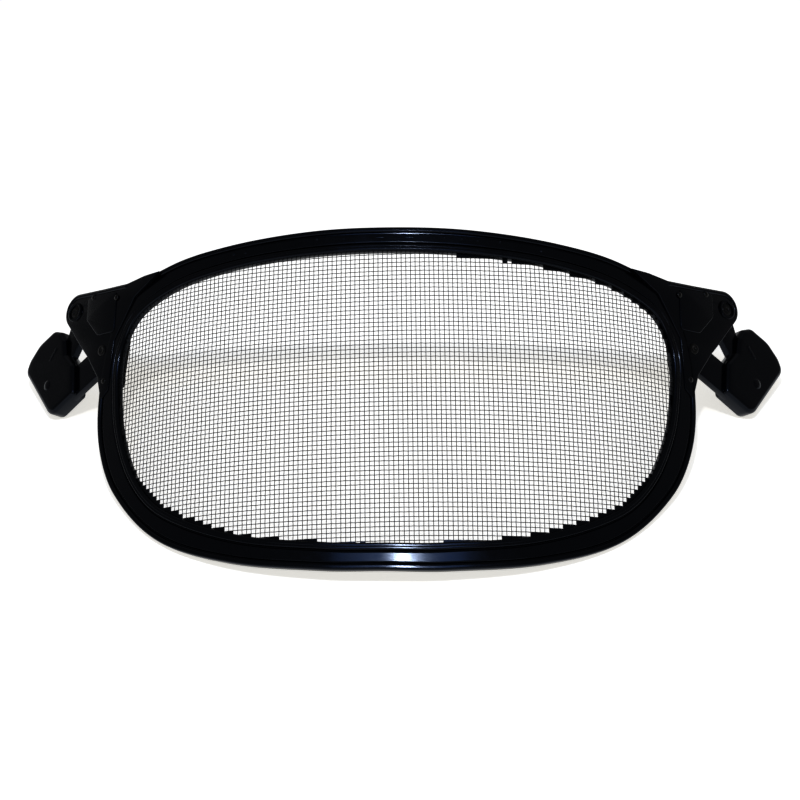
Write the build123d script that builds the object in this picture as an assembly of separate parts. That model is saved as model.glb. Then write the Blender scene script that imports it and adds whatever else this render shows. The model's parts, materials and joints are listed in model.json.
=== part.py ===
from build123d import *
import math
import os

# Wire-mesh face visor for a work helmet.
# Working frame: X across the face, Y back toward the face, Z up the visor, origin at the
# centre of the mesh.  The wire plane is a bent sheet: s is the distance along the bend from
# the middle, v the height, and "out" the distance in front of the wire plane.
# The finished parts are laid down the way the visor rests on a table.  All sizes are in mm.

# Bend of the visor
FRONT_RADIUS = 273.7
SIDE_RADIUS = 172.2
FRONT_HALF_ARC = 60.0
FLAT_START = 138.0
SHELL_REACH = 182.0
SHELL_HALF_HEIGHT = 95.0

# Rim
RIM_FRONT = 2.2
RIM_BACK = 1.8
OUTER_BEAD = 2.6
INNER_BEAD = 3.5
CHANNEL_DEPTH = 0.7
SEAM_OVERRUN = 12.0
RIM_OUTER = [(0, 81.7), (34, 81.1), (75, 77.7), (105, 73.3), (128, 64.5), (141, 44), (144.8, 14),
             (141.3, -9), (129, -32), (102, -56.5), (67, -69), (27, -73.7), (0, -74)]
RIM_INNER = [(0, 70.2), (48, 68.6), (89, 63.9), (109, 58.8), (124.5, 50.3), (131.6, 36), (131.8, 18),
             (127.4, -4), (115.8, -27.3), (99, -43), (64, -56.8), (24, -61.8), (0, -62.2)]

# Wire cloth
WIRE_PITCH = 2.04
WIRE_DIAMETER = 0.34
WIRE_SIDE = WIRE_DIAMETER * math.sqrt(math.pi) / 2
WIRE_LAYER = WIRE_DIAMETER / 2
WIRE_GRIP = 3.0

# Ears
EAR_END = (166.2, 66.1)
EAR_END_RADIUS = 8.3
EAR_EDGE = [(117, 62), (117, 70.9), (129, 70.2), (146, 72.0), (165.3, 74.35), (172.5, 60.7),
            (161.3, 46.8), (155.9, 40.6), (147, 28), (143, 16), (136, 24), (134, 44)]
LAND_EDGE = [(136, 47.9), (148.5, 48.9), (157.5, 59.0), (157.5, 71.2), (136, 68.6)]
LAND_HEIGHT = 0.6

# Pivot, stop peg and keeper, as (s, v) on the ear
PIVOT = (167.0, 65.5)
STOP = (144.5, 40.5)
RIVETS = [(153.4, 69.4), (136.4, 64.8), (141.9, 25.0)]
BOSS_RADIUS = 4.8
BOSS_FRONT = 3.1
BOSS_RECESS_RADIUS = 3.4
BOSS_RECESS_FLOOR = 1.4
PIN_RADIUS = 2.0
PIN_HEAD_RADIUS = 2.9
PIN_HEAD_HEIGHT = 1.2
PIN_FIT = 0.05
PIN_TAIL = -9.0
WAVE_WASHER_RADIUS = 5.6
FLAT_WASHER_RADIUS = 5.0
WASHER_THICKNESS = 0.5
NUT_RADIUS = 4.0
NUT_THICKNESS = 0.8
PEG_RADIUS = 1.9
PEG_HEAD_RADIUS = 2.6
PEG_HEAD_HEIGHT = 0.8
COLUMN_RADIUS = 2.4
RIVET_RADIUS = 0.8
RIVET_HEAD_RADIUS = 1.4
RIVET_HEAD_HEIGHT = 0.6
KEEPER_EDGE = [(157.5, 71.2), (151, 72.6), (135.0, 68.3), (134.5, 62), (138.5, 24), (142, 21.4),
               (145.8, 25), (150.5, 40), (152.5, 60)]
KEEPER_THICKNESS = 1.2

# Clip: a thin plate behind the ear that carries a thick pad
SLIDE_GAP = 0.05
SIDE_GAP = 0.3
PLATE_THICKNESS = 3.5
PLATE_BOSS_RADIUS = 7.0
PLATE_EDGE = [(160.4, 63.0), (151.5, 54.5), (147.2, 45.6), (143.8, 37.0), (147.5, 33.2),
              (155.6, 30.2), (180, 19.5), (190, 40), (178.5, 54.6), (174.0, 63.5)]
WINDOW_EDGE = [(172.5, 45.6), (168.0, 40.4), (161.3, 43.3), (154.5, 47.0), (160.8, 59.0), (164.0, 58.0)]
PAD_TOP = (186.0, 60.8)
PAD_CROWN = (197.2, 55.6)
PAD_OUTER = (205.2, 44.6)
PAD_BOTTOM = (184.0, 18.2)
PAD_INNER = [(166.5, 26.0), (168.3, 40.2), (174.8, 46.8), (176.2, 54.6), (180.2, 59.2)]
PAD_FRONT = 0.5
PAD_BACK = -8.0
PAD_CORNER = 1.8
PAD_EDGE = 2.2
SOCKET_CENTRE = (186.5, 39.5)
SOCKET_TURN = 46.0
SOCKET_LENGTH = 18.0
SOCKET_WIDTH = 7.0
SOCKET_DEPTH = 6.0
PEG_CLEARANCE = 0.25

# How the visor lies on a table
REST_TILT = 35.12

EAR_BACK = -RIM_BACK
WASHER_FRONT = EAR_BACK - SLIDE_GAP
PLATE_FRONT = WASHER_FRONT - WASHER_THICKNESS - SLIDE_GAP
PLATE_BACK = PLATE_FRONT - PLATE_THICKNESS
KEEPER_FRONT = PLATE_BACK - SIDE_GAP
KEEPER_BACK = KEEPER_FRONT - KEEPER_THICKNESS


def turn_at(s):
    """Turn of the bend at s, in radians."""
    reach = min(abs(s), FLAT_START)
    front = min(reach, FRONT_HALF_ARC) / FRONT_RADIUS
    side = max(reach - FRONT_HALF_ARC, 0) / SIDE_RADIUS
    return math.copysign(front + side, s)


def on_shell(s, out=0.0):
    """X and Y of the point s along the bend, out in front of the wire plane."""
    front = min(abs(s), FRONT_HALF_ARC) / FRONT_RADIUS
    turn = abs(turn_at(s))
    straight = max(abs(s) - FLAT_START, 0)
    x = FRONT_RADIUS * math.sin(front) + SIDE_RADIUS * (math.sin(turn) - math.sin(front))
    y = FRONT_RADIUS * (1 - math.cos(front)) + SIDE_RADIUS * (math.cos(front) - math.cos(turn))
    x += straight * math.cos(turn) + out * math.sin(turn)
    y += straight * math.sin(turn) - out * math.cos(turn)
    return math.copysign(x, s), y


EAR_TURN = turn_at(FLAT_START)
EAR_ORIGIN = on_shell(FLAT_START)
EAR_PLANE = Plane(
    origin=(EAR_ORIGIN[0], EAR_ORIGIN[1], 0),
    x_dir=(math.cos(EAR_TURN), math.sin(EAR_TURN), 0),
    z_dir=(math.sin(EAR_TURN), -math.cos(EAR_TURN), 0),
)


def ear_point(point):
    """Sketch point on the ear plane that lies in front of (s, v) on the wire plane."""
    x, y = on_shell(point[0])
    along = (x - EAR_ORIGIN[0]) * math.cos(EAR_TURN) + (y - EAR_ORIGIN[1]) * math.sin(EAR_TURN)
    return along, point[1]


def ear_prism(sketch, front, back):
    """Solid of a sketch drawn on the ear plane, between two distances from the wire plane."""
    return extrude(EAR_PLANE.offset(back) * sketch, amount=front - back, dir=EAR_PLANE.z_dir)


def ear_disc(point, radius, front, back):
    """Round solid on the ear, square to it."""
    return ear_prism(Pos(*ear_point(point)) * Circle(radius), front, back)


def shell_slab(front, back, reach, height):
    """Right half of the bent sheet between two distances from the wire plane."""
    middle = FRONT_HALF_ARC / 2
    flank = (FRONT_HALF_ARC + FLAT_START) / 2
    lines = []
    for out in (front, back):
        lines += [
            ThreePointArc(on_shell(0, out), on_shell(middle, out), on_shell(FRONT_HALF_ARC, out)),
            ThreePointArc(on_shell(FRONT_HALF_ARC, out), on_shell(flank, out), on_shell(FLAT_START, out)),
            Line(on_shell(FLAT_START, out), on_shell(reach, out)),
        ]
    lines += [
        Line(on_shell(0, front), on_shell(0, back)),
        Line(on_shell(reach, front), on_shell(reach, back)),
    ]
    return extrude(make_face(lines), amount=height, both=True)


def smooth_half(points):
    """Face left of a smooth half outline from top middle to bottom middle."""
    top, bottom = points[0][1], points[-1][1]
    seam = ear_point((-SEAM_OVERRUN, 0))[0]
    start, end = ear_point(points[0]), ear_point(points[-1])
    curve = Spline(*[ear_point(p) for p in points], tangents=[(1, 0), (-1, 0)])
    return make_face([curve, Line(end, (seam, bottom)), Line((seam, bottom), (seam, top)),
                      Line((seam, top), start)])


def shifted(points, distance):
    """Half outline moved outward by a distance, each point square to the outline."""
    first, last = points[1], points[-2]
    row = [(-first[0], first[1])] + points + [(-last[0], last[1])]
    moved = []
    for before, (s, v), after in zip(row, points, row[2:]):
        run, rise = after[0] - before[0], after[1] - before[1]
        length = math.hypot(run, rise)
        moved.append((s - distance * rise / length, v + distance * run / length))
    return moved


def ear_outline():
    """Outline of one ear with its round end."""
    edge = make_face(Polyline(*[ear_point(p) for p in EAR_EDGE], close=True))
    return edge + Pos(*ear_point(EAR_END)) * Circle(EAR_END_RADIUS)


def rim_half():
    """Right half of the moulded rim with its ear, boss and spacer columns."""
    outer = smooth_half(RIM_OUTER)
    inner = smooth_half(RIM_INNER)
    ring = (outer + ear_outline()) - inner
    channel = smooth_half(shifted(RIM_OUTER, -OUTER_BEAD)) - smooth_half(shifted(RIM_INNER, INNER_BEAD))
    land = make_face(Polyline(*[ear_point(p) for p in LAND_EDGE], close=True))
    slab = shell_slab(RIM_FRONT, EAR_BACK, SHELL_REACH, SHELL_HALF_HEIGHT)
    skin = shell_slab(RIM_FRONT + 1, RIM_FRONT - CHANNEL_DEPTH, SHELL_REACH, SHELL_HALF_HEIGHT)
    half = slab & ear_prism(ring, SHELL_REACH, -SHELL_REACH)
    half -= skin & ear_prism(channel, SHELL_REACH, -SHELL_REACH)
    half += ear_prism(land, RIM_FRONT + LAND_HEIGHT, 0)
    half += ear_disc(PIVOT, BOSS_RADIUS, BOSS_FRONT, 0)
    half -= ear_disc(PIVOT, BOSS_RECESS_RADIUS, BOSS_FRONT + 1, BOSS_RECESS_FLOOR)
    half -= ear_disc(PIVOT, PIN_RADIUS + PIN_FIT, BOSS_FRONT, EAR_BACK - 1)
    half -= ear_disc(STOP, PEG_RADIUS, BOSS_FRONT, EAR_BACK - 1)
    for spot in RIVETS:
        half += ear_disc(spot, COLUMN_RADIUS, 0, KEEPER_FRONT)
        half -= ear_disc(spot, RIVET_RADIUS, BOSS_FRONT + 1, KEEPER_FRONT - 1)
    return half


def rim_frame():
    """The whole rim, both halves in one piece."""
    half = rim_half()
    return half + mirror(half, about=Plane.YZ)


def cloth_outline():
    """Flat pattern of the wire cloth, out to where the rim grips it."""
    right = Spline(*shifted(RIM_INNER, WIRE_GRIP), tangents=[(1, 0), (-1, 0)])
    return make_face([right, mirror(right, about=Plane.YZ)])


def strip_box(outline, centre, length, height):
    """Bounding box of the part of a flat strip that lies inside the outline."""
    return (outline & Pos(*centre) * Rectangle(length, height)).bounding_box()


def warp_wires():
    """Upright wires, straight, in the front layer."""
    outline = cloth_outline()
    count = int((outline.bounding_box().max.X - WIRE_GRIP) / WIRE_PITCH)
    wires = []
    for number in range(-count, count + 1):
        s = number * WIRE_PITCH
        span = strip_box(outline, (abs(s), 0), WIRE_SIDE, 2 * SHELL_HALF_HEIGHT)
        x, y = on_shell(s, WIRE_LAYER)
        bar = Box(WIRE_SIDE, WIRE_SIDE, span.size.Y)
        turned = Rot(Z=math.degrees(turn_at(s))) * bar
        wires.append(Pos(x, y, (span.min.Y + span.max.Y) / 2) * turned)
    return Compound(children=wires)


def arc_strip(half_width):
    """Cross-section of a crosswise wire out to half_width each side of the middle."""
    lines = []
    for out in (-WIRE_LAYER - WIRE_SIDE / 2, -WIRE_LAYER + WIRE_SIDE / 2):
        inner = min(FRONT_HALF_ARC, half_width)
        lines.append(ThreePointArc(on_shell(-inner, out), on_shell(0, out), on_shell(inner, out)))
        for side in (-1, 1):
            if half_width > inner:
                middle = (inner + half_width) / 2
                lines.append(ThreePointArc(on_shell(side * inner, out), on_shell(side * middle, out),
                                           on_shell(side * half_width, out)))
    for side in (-1, 1):
        lines.append(Line(on_shell(side * half_width, -WIRE_LAYER - WIRE_SIDE / 2),
                          on_shell(side * half_width, -WIRE_LAYER + WIRE_SIDE / 2)))
    return make_face(lines)


def weft_wires():
    """Crosswise wires that follow the bend, in the back layer."""
    outline = cloth_outline()
    box = outline.bounding_box()
    lowest = math.ceil((box.min.Y + WIRE_GRIP) / WIRE_PITCH)
    highest = math.floor((box.max.Y - WIRE_GRIP) / WIRE_PITCH)
    wires = []
    for number in range(lowest, highest + 1):
        v = number * WIRE_PITCH
        strip = arc_strip(strip_box(outline, (0, v), 2 * SHELL_REACH, WIRE_SIDE).max.X)
        wires.append(Pos(0, 0, v) * extrude(strip, amount=WIRE_SIDE / 2, both=True))
    return Compound(children=wires)


def pad_outline():
    """Front view of the clip's thick pad."""
    top, crown, outer, bottom = [ear_point(p) for p in (PAD_TOP, PAD_CROWN, PAD_OUTER, PAD_BOTTOM)]
    inner = [ear_point(p) for p in PAD_INNER]
    face = make_face([ThreePointArc(top, crown, outer), Polyline(outer, bottom, *inner, top)])
    return fillet(face.vertices(), PAD_CORNER)


def clip():
    """Plate with its window, pad and socket, seated behind the right ear."""
    plate = make_face(Polyline(*[ear_point(p) for p in PLATE_EDGE], close=True))
    plate += Pos(*ear_point(PIVOT)) * Circle(PLATE_BOSS_RADIUS)
    window = make_face(Polyline(*[ear_point(p) for p in WINDOW_EDGE], close=True))
    pad = ear_prism(pad_outline(), PAD_FRONT, PAD_BACK)
    front_edges = pad.faces().sort_by(Axis((0, 0, 0), EAR_PLANE.z_dir))[-1].edges()
    body = fillet(front_edges, PAD_EDGE)
    body += ear_prism(plate, PLATE_FRONT, PLATE_BACK)
    body -= ear_prism(window, PAD_FRONT + 1, PAD_BACK - 1)
    body -= ear_disc(PIVOT, PIN_RADIUS + PIN_FIT, 0, PAD_BACK)
    body -= ear_disc(STOP, PEG_RADIUS + PEG_CLEARANCE, 0, PAD_BACK)
    slot = Pos(*ear_point(SOCKET_CENTRE)) * Rot(Z=SOCKET_TURN) * Rectangle(SOCKET_LENGTH, SOCKET_WIDTH)
    return body - ear_prism(slot, PAD_BACK + SOCKET_DEPTH, PAD_BACK - 1)


def pivot_pin():
    """Headed pin that the clip swings on."""
    head = ear_disc(PIVOT, PIN_HEAD_RADIUS, BOSS_RECESS_FLOOR + PIN_HEAD_HEIGHT, BOSS_RECESS_FLOOR)
    return head + ear_disc(PIVOT, PIN_RADIUS, BOSS_RECESS_FLOOR, PIN_TAIL)


def ring(radius, hole, front, thickness):
    """Flat ring round the pivot."""
    disc = ear_disc(PIVOT, radius, front, front - thickness)
    return disc - ear_disc(PIVOT, hole, front + 1, front - thickness - 1)


def wave_washer():
    """Spring washer between the ear and the clip, drawn flat as it is when clamped."""
    return ring(WAVE_WASHER_RADIUS, PIN_RADIUS + PIN_FIT, WASHER_FRONT, WASHER_THICKNESS)


def flat_washer():
    """Plain washer behind the clip."""
    return ring(FLAT_WASHER_RADIUS, PIN_RADIUS + PIN_FIT, PLATE_BACK - SLIDE_GAP, WASHER_THICKNESS)


def push_nut():
    """Push-on nut that grips the tail of the pin."""
    front = PLATE_BACK - 2 * SLIDE_GAP - WASHER_THICKNESS
    return ring(NUT_RADIUS, PIN_RADIUS, front, NUT_THICKNESS)


def stop_peg():
    """Peg through the ear that the clip's fork comes down on."""
    head = ear_disc(STOP, PEG_HEAD_RADIUS, RIM_FRONT + PEG_HEAD_HEIGHT, RIM_FRONT)
    return head + ear_disc(STOP, PEG_RADIUS, RIM_FRONT, KEEPER_BACK)


def keeper_plate():
    """Steel plate behind the clip, on the three spacer columns."""
    plate = ear_prism(make_face(Polyline(*[ear_point(p) for p in KEEPER_EDGE], close=True)),
                      KEEPER_FRONT, KEEPER_BACK)
    plate -= ear_disc(STOP, PEG_RADIUS, KEEPER_FRONT + 1, KEEPER_BACK - 1)
    for spot in RIVETS:
        plate -= ear_disc(spot, RIVET_RADIUS, KEEPER_FRONT + 1, KEEPER_BACK - 1)
    return plate


def keeper_rivets():
    """Three small rivets that hold the keeper plate."""
    rivets = []
    for spot in RIVETS:
        seat = RIM_FRONT + LAND_HEIGHT if spot[1] > LAND_EDGE[0][1] else RIM_FRONT
        shank = ear_disc(spot, RIVET_RADIUS, seat, KEEPER_BACK)
        shank += ear_disc(spot, RIVET_HEAD_RADIUS, seat + RIVET_HEAD_HEIGHT, seat)
        shank += ear_disc(spot, RIVET_HEAD_RADIUS, KEEPER_BACK, KEEPER_BACK - RIVET_HEAD_HEIGHT)
        rivets.append(shank)
    return Compound(children=rivets)


SIDE_PARTS = {
    "clip": clip,
    "pivot_pin": pivot_pin,
    "wave_washer": wave_washer,
    "flat_washer": flat_washer,
    "push_nut": push_nut,
    "stop_peg": stop_peg,
    "keeper_plate": keeper_plate,
    "keeper_rivets": keeper_rivets,
}


def all_parts():
    """Every node in the working frame."""
    parts = {"rim_frame": rim_frame(), "mesh_warp_wires": warp_wires(), "mesh_weft_wires": weft_wires()}
    for name, build in SIDE_PARTS.items():
        right = build()
        parts["right_" + name] = right
        parts["left_" + name] = mirror(right, about=Plane.YZ)
    return parts


def rest_pose(parts):
    """Lay the parts down as on a table: tilted back, standing on Z = 0, centred in X and Y."""
    tilt = Rot(X=REST_TILT - 90)
    laid = {name: tilt * part for name, part in parts.items()}
    boxes = [part.bounding_box() for part in laid.values()]
    middle = (min(box.min.Y for box in boxes) + max(box.max.Y for box in boxes)) / 2
    floor = min(box.min.Z for box in boxes)
    return {name: Pos(0, -middle, -floor) * part for name, part in laid.items()}


def main():
    os.makedirs("parts", exist_ok=True)
    for name, part in rest_pose(all_parts()).items():
        export_step(part, "parts/" + name + ".step")


if __name__ == "__main__":
    main()
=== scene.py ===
"""Wire-mesh face visor of a work helmet: its finished surfaces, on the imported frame."""
import json
import logging
import math
from abc import ABC, abstractmethod
from dataclasses import dataclass, field
from enum import Enum
from typing import Any, Callable, Iterable, Sequence

import bmesh
import bpy
import numpy as np
from mathutils import Matrix, Vector


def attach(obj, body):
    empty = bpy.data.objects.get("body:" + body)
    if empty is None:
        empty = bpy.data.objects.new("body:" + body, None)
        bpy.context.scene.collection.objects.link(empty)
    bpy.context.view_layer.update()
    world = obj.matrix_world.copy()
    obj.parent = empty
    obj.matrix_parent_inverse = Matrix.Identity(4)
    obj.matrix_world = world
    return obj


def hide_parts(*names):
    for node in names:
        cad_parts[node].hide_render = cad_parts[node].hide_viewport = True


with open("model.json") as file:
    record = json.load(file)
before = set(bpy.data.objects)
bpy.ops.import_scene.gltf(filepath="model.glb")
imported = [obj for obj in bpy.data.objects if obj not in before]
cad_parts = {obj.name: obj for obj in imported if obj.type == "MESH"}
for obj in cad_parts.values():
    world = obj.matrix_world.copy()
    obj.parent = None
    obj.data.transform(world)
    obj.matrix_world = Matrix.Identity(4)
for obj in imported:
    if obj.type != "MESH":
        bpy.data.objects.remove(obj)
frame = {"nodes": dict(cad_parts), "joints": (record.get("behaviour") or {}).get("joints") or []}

log = logging.getLogger("visor")
MM = 0.001
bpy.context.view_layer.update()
Pair = tuple[float, float]


class Side(Enum):
    """Which side of the wearer's view a piece is on, as the sign of X."""

    RIGHT = 1
    LEFT = -1

    @property
    def label(self) -> str:
        """Word that the piece names start with."""
        return self.name.lower()


# ---------------------------------------------------------------- shape of the sheet


@dataclass(frozen=True)
class Bend:
    """The bent sheet that the wires lie in, and how the visor rests on the table.

    A point is given as s, the distance in mm along the bend from the middle, v, the height
    in mm up the visor, and out, the distance in mm in front of the wires.
    """

    front_radius: float = 273.7
    side_radius: float = 172.2
    front_half_arc: float = 60.0
    flat_start: float = 138.0
    rest_tilt: float = 35.12
    pivot: Pair = (167.0, 65.5)

    def turn(self, s: np.ndarray) -> np.ndarray:
        """Turn of the sheet at s, in radians, without its sign."""
        reach = np.minimum(np.abs(s), self.flat_start)
        front = np.minimum(reach, self.front_half_arc) / self.front_radius
        return front + np.maximum(reach - self.front_half_arc, 0) / self.side_radius

    def working(self, s: np.ndarray, v: np.ndarray, out: np.ndarray) -> np.ndarray:
        """Points in the visor's own frame, in mm: X across, Y back, Z up the visor."""
        s, v, out = np.broadcast_arrays(*(np.asarray(a, float) for a in (s, v, out)))
        turn = self.turn(s)
        front = np.minimum(turn, self.front_half_arc / self.front_radius)
        straight = np.maximum(np.abs(s) - self.flat_start, 0)
        x = self.front_radius * np.sin(front) + self.side_radius * (np.sin(turn) - np.sin(front))
        y = self.front_radius * (1 - np.cos(front)) + self.side_radius * (np.cos(front) - np.cos(turn))
        x = x + straight * np.cos(turn) + out * np.sin(turn)
        y = y + straight * np.sin(turn) - out * np.cos(turn)
        return np.stack([np.where(s < 0, -x, x), y, v], axis=-1)

    @property
    def tilt(self) -> Matrix:
        """Turn that lays the standing visor back to its rest on the table."""
        return Matrix.Rotation(math.radians(self.rest_tilt - 90), 4, "X")

    @property
    def shift(self) -> Vector:
        """Move, in metres, that brings the turned visor to where the frame's pivot is."""
        joint = next(j for j in frame["joints"] if j["name"] == "right_clip_pivot")
        own = self.working(self.pivot[0], self.pivot[1], 0) * MM
        return Vector(joint["pos_m"]) - self.tilt @ Vector(own)

    def rest(self, points: np.ndarray) -> np.ndarray:
        """Points of the visor's own frame, in mm, laid on the table, in metres."""
        turned = np.asarray(points) * MM @ np.array(self.tilt.to_3x3()).T
        return turned + np.array(self.shift)

    def on_sheet(self, s: Any, v: Any, out: Any = 0.0) -> np.ndarray:
        """Points on or beside the bent sheet, laid on the table, in metres."""
        return self.rest(self.working(s, v, out))

    def on_ear(self, s: Any, v: Any, out: Any = 0.0) -> np.ndarray:
        """Points on the flat of the right ear, which goes on straight past the bend."""
        s, v, out = np.broadcast_arrays(*(np.asarray(a, float) for a in (s, v, out)))
        turn = float(self.turn(np.array(self.flat_start)))
        root = self.working(self.flat_start, 0, 0)
        along, ahead = s - self.flat_start, out
        x = root[0] + along * math.cos(turn) + ahead * math.sin(turn)
        y = root[1] + along * math.sin(turn) - ahead * math.cos(turn)
        return self.rest(np.stack([x, y, v], axis=-1))


BEND = Bend()


# ---------------------------------------------------------------- outlines


def smooth_loop(points: Sequence[Pair], count: int) -> np.ndarray:
    """Even points along a smooth closed curve.

    Args:
        points: corners that the curve passes through, in order.
        count: number of points to return.

    Returns:
        Array of count (s, v) points, evenly spaced along the curve.
    """
    knots = np.array(points, float)
    steps = np.linspace(0, 1, 24, endpoint=False)[:, None]
    p0, p1, p2, p3 = (np.roll(knots, shift, axis=0) for shift in (1, 0, -1, -2))
    rows = []
    for a, b, c, d in zip(p0, p1, p2, p3):
        span = max(np.linalg.norm(c - b), 1e-9)
        m1 = (c - a) / max(np.linalg.norm(c - a), 1e-9) * span
        m2 = (d - b) / max(np.linalg.norm(d - b), 1e-9) * span
        t = steps
        rows.append((2 * t**3 - 3 * t**2 + 1) * b + (t**3 - 2 * t**2 + t) * m1
                    + (-2 * t**3 + 3 * t**2) * c + (t**3 - t**2) * m2)
    dense = np.vstack(rows)
    closed = np.vstack([dense, dense[:1]])
    reach = np.concatenate([[0], np.cumsum(np.linalg.norm(np.diff(closed, axis=0), axis=1))])
    even = np.linspace(0, reach[-1], count, endpoint=False)
    return np.stack([np.interp(even, reach, closed[:, axis]) for axis in (0, 1)], axis=1)


def both_sides(half: Sequence[Pair]) -> list[Pair]:
    """Closed outline from its right half, listed from top middle to bottom middle."""
    left = [(-s, v) for s, v in reversed(half[1:-1])]
    return list(half) + left


def outward(loop: np.ndarray) -> np.ndarray:
    """Unit outward normals of a closed clockwise loop."""
    run = np.roll(loop, -1, axis=0) - np.roll(loop, 1, axis=0)
    run /= np.linalg.norm(run, axis=1)[:, None]
    normal = np.stack([-run[:, 1], run[:, 0]], axis=1)
    area = np.sum(loop[:, 0] * np.roll(loop[:, 1], -1) - np.roll(loop[:, 0], -1) * loop[:, 1])
    return normal if area < 0 else -normal


def inside(loop: np.ndarray, points: np.ndarray) -> np.ndarray:
    """Which points lie inside a closed loop."""
    hits = np.zeros(len(points), int)
    for a, b in zip(loop, np.roll(loop, -1, axis=0)):
        crosses = (a[1] > points[:, 1]) != (b[1] > points[:, 1])
        if not crosses.any():
            continue
        at = a[0] + (points[:, 1] - a[1]) * (b[0] - a[0]) / (b[1] - a[1])
        hits += crosses & (points[:, 0] < at)
    return hits % 2 == 1


def depth_in(loop: np.ndarray, points: np.ndarray) -> np.ndarray:
    """Distance of each point from a loop, positive inside it."""
    gaps = np.linalg.norm(points[:, None, :] - loop[None, :, :], axis=2).min(axis=1)
    return np.where(inside(loop, points), gaps, -gaps)


def rounded(corners: Sequence[tuple[float, float, float]], steps: int = 7) -> np.ndarray:
    """Polygon whose corners are rounded.

    Args:
        corners: (s, v, radius) of each corner, in order.
        steps: points on each corner's arc.

    Returns:
        Array of (s, v) points.
    """
    rows = []
    count = len(corners)
    for number, (s, v, radius) in enumerate(corners):
        here = np.array((s, v))
        before = np.array(corners[number - 1][:2]) - here
        after = np.array(corners[(number + 1) % count][:2]) - here
        long_before, long_after = np.linalg.norm(before), np.linalg.norm(after)
        before, after = before / long_before, after / long_after
        half = math.acos(float(np.clip(before @ after, -1, 1))) / 2
        if radius <= 0 or half > math.radians(89.5):
            rows.append(here[None, :])
            continue
        back = min(radius / math.tan(half), 0.49 * long_before, 0.49 * long_after)
        start, end = here + before * back, here + after * back
        t = np.linspace(0, 1, steps)[:, None]
        weight = math.sin(half)
        top = (1 - t)**2 * start + 2 * weight * t * (1 - t) * here + t**2 * end
        rows.append(top / ((1 - t)**2 + 2 * weight * t * (1 - t) + t**2))
    return np.vstack(rows)


def circle(centre: Pair, radius: float, count: int = 40) -> np.ndarray:
    """Round outline."""
    angles = np.linspace(0, 2 * math.pi, count, endpoint=False)
    return np.stack([centre[0] + radius * np.cos(angles), centre[1] + radius * np.sin(angles)], axis=1)


# ---------------------------------------------------------------- mesh helpers


def mesh_object(name: str, vertices: np.ndarray, faces: Iterable[Sequence[int]]) -> bpy.types.Object:
    """Closed mesh with its normals outward and smooth shading below 40 degrees."""
    mesh = bpy.data.meshes.new(name)
    mesh.from_pydata([tuple(p) for p in vertices], [], [tuple(f) for f in faces])
    work = bmesh.new()
    work.from_mesh(mesh)
    bmesh.ops.remove_doubles(work, verts=work.verts, dist=1e-6)
    bmesh.ops.recalc_face_normals(work, faces=work.faces)
    work.to_mesh(mesh)
    work.free()
    return dressed_object(name, mesh)


def dressed_object(name: str, mesh: bpy.types.Mesh) -> bpy.types.Object:
    """Object of a finished mesh, smooth where its faces meet at less than 40 degrees."""
    mesh.shade_smooth()
    mesh.set_sharp_from_angle(angle=math.radians(40))
    item = bpy.data.objects.new(name, mesh)
    bpy.context.scene.collection.objects.link(item)
    return item


def joined(name: str, items: Sequence[bpy.types.Object]) -> bpy.types.Object:
    """One object with the meshes of several, which are removed."""
    work = bmesh.new()
    for item in items:
        work.from_mesh(item.data)
        bpy.data.objects.remove(item)
    mesh = bpy.data.meshes.new(name)
    work.to_mesh(mesh)
    work.free()
    return dressed_object(name, mesh)


def mirrored(item: bpy.types.Object, name: str) -> bpy.types.Object:
    """Left-hand twin of a right-hand piece."""
    mesh = item.data.copy()
    mesh.transform(Matrix.Scale(-1, 4, (1, 0, 0)))
    mesh.flip_normals()
    return dressed_object(name, mesh)


def skin(rings: Sequence[np.ndarray], closed_section: bool = False) -> tuple[np.ndarray, list]:
    """Quads between rings that each close on themselves.

    Args:
        rings: rings of points, all of the same length.
        closed_section: whether the last ring joins the first.

    Returns:
        All the points, and the quads over them.
    """
    count = len(rings[0])
    faces = []
    last = len(rings) if closed_section else len(rings) - 1
    for row in range(last):
        here, there = row * count, (row + 1) % len(rings) * count
        for k in range(count):
            n = (k + 1) % count
            faces.append((here + k, here + n, there + n, there + k))
    return np.vstack(rings), faces


def slab(name: str, loops: Sequence[np.ndarray], front: float, back: float, edge: float,
         place: Callable[..., np.ndarray] = BEND.on_ear) -> bpy.types.Object:
    """Flat plate with rounded edges and any number of holes.

    Args:
        name: name of the object.
        loops: outline first, then the holes, as (s, v) points.
        front: distance of the front face in front of the wires, in mm.
        back: distance of the back face, in mm.
        edge: radius of the rounded edges, in mm.
        place: function that lays (s, v, out) on the ear or on the sheet.

    Returns:
        The plate, laid in place.
    """
    curve = bpy.data.curves.new(name, "CURVE")
    curve.dimensions, curve.fill_mode = "2D", "BOTH"
    curve.extrude, curve.bevel_depth = (front - back) / 2 - edge, edge
    curve.bevel_resolution, curve.offset = 2, -edge
    for loop in loops:
        spline = curve.splines.new("POLY")
        spline.points.add(len(loop) - 1)
        flat = np.column_stack([loop, np.zeros(len(loop)), np.ones(len(loop))])
        spline.points.foreach_set("co", flat.ravel())
        spline.use_cyclic_u = True
    source = bpy.data.objects.new(name + "_source", curve)
    bpy.context.scene.collection.objects.link(source)
    depsgraph = bpy.context.evaluated_depsgraph_get()
    mesh = bpy.data.meshes.new_from_object(source.evaluated_get(depsgraph))
    bpy.data.objects.remove(source)
    points = np.array([v.co[:] for v in mesh.vertices])
    laid = place(points[:, 0], points[:, 1], points[:, 2] + (front + back) / 2)
    faces = [tuple(p.vertices) for p in mesh.polygons]
    return mesh_object(name, laid, faces)


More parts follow.
